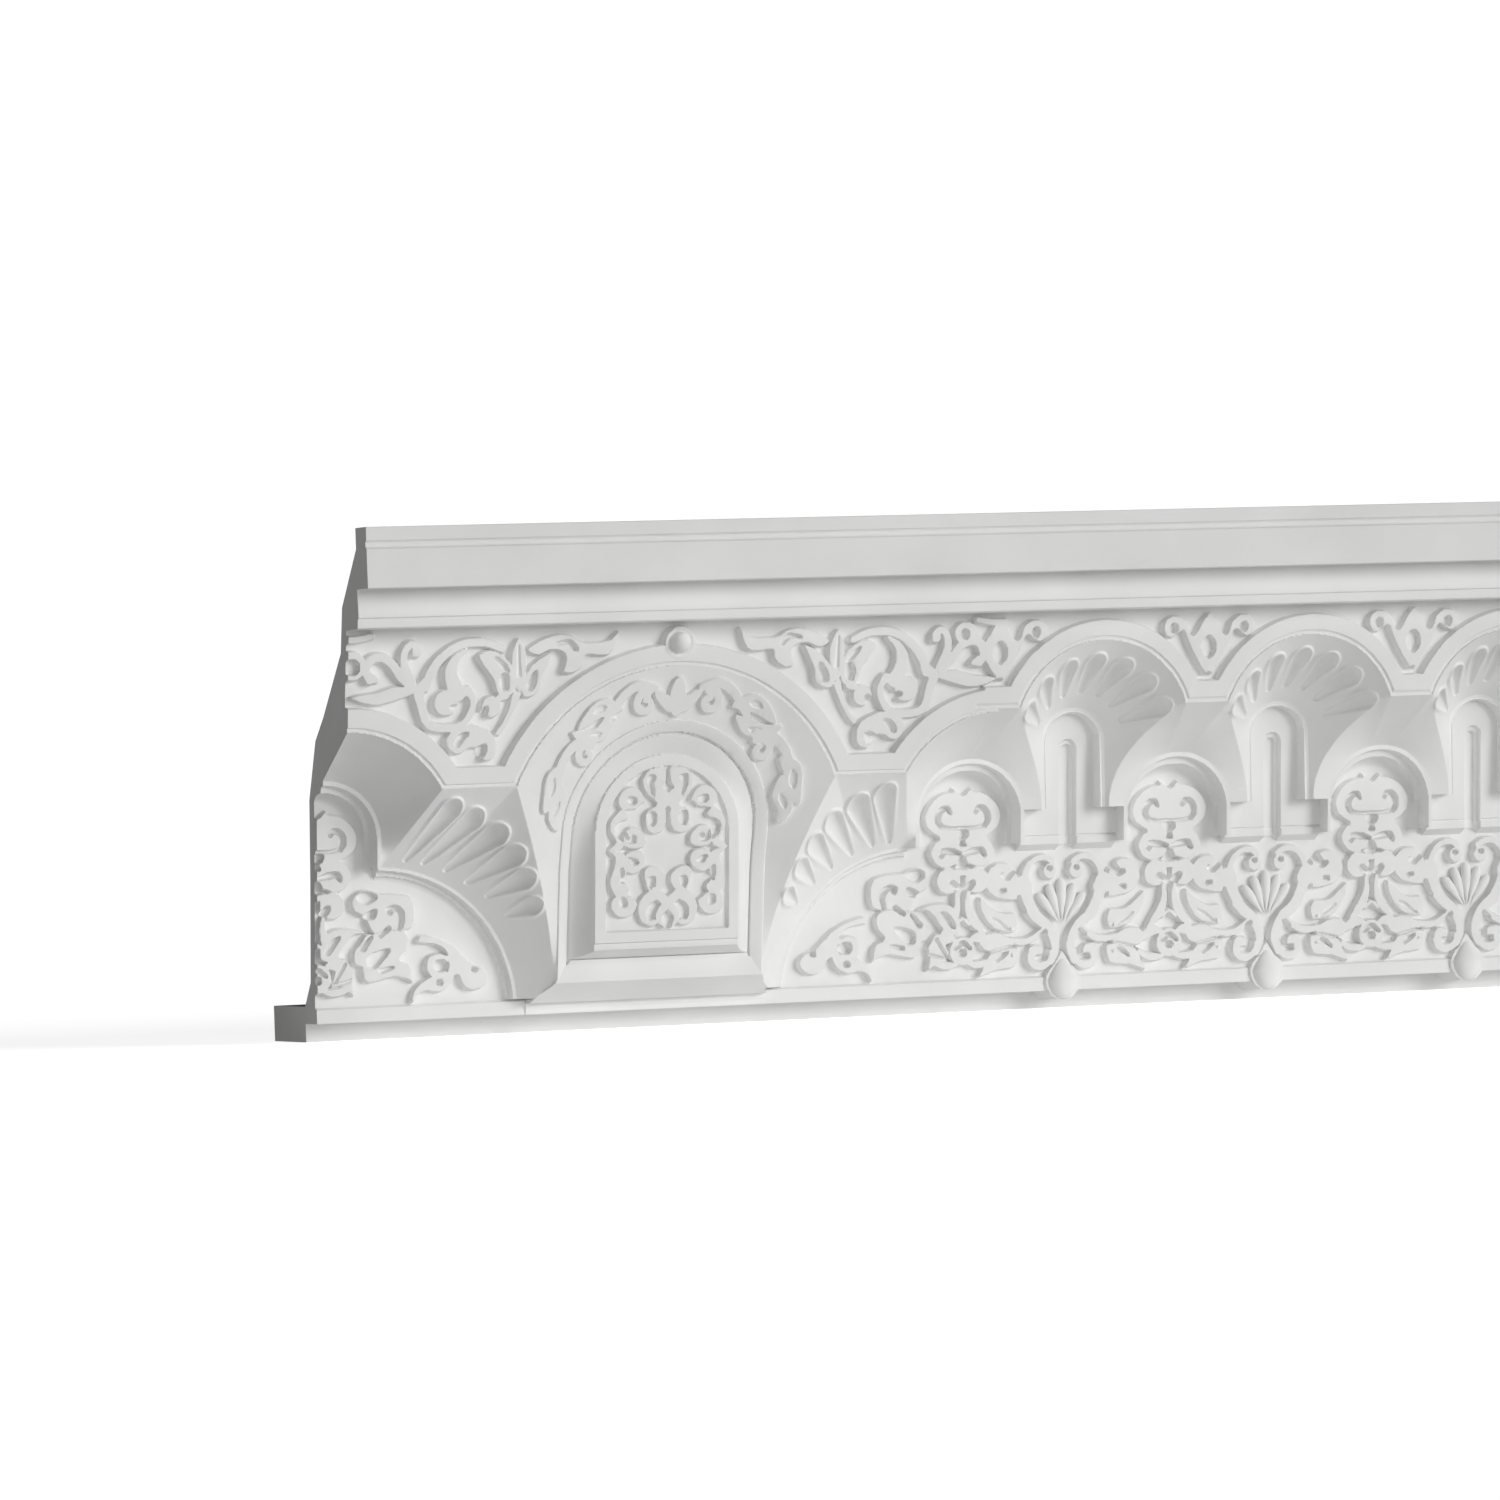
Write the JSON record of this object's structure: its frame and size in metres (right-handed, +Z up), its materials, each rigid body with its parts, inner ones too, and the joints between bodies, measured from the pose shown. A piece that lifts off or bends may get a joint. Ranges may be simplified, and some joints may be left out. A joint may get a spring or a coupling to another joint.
{
  "type": "cornice moulding",
  "caption": "Cast ceiling cornice moulding with a stepped crown, an arcade of arched niches, shell fans, an arched panel niche and scroll reliefs, cut square at both ends.",
  "frame": {"origin": "middle of the foot's back face, where the moulding meets the wall", "axes": "+X along the wall, to the right seen from the room; +Y into the wall; +Z up, towards the ceiling"},
  "size_m": [0.777, 0.177, 0.28],
  "materials": {
    "cast_white": "matte white primed polyurethane foam or plaster"
  },
  "bodies": {
    "root": {"cornice_moulding": "cast_white"}
  },
  "joints": []
}
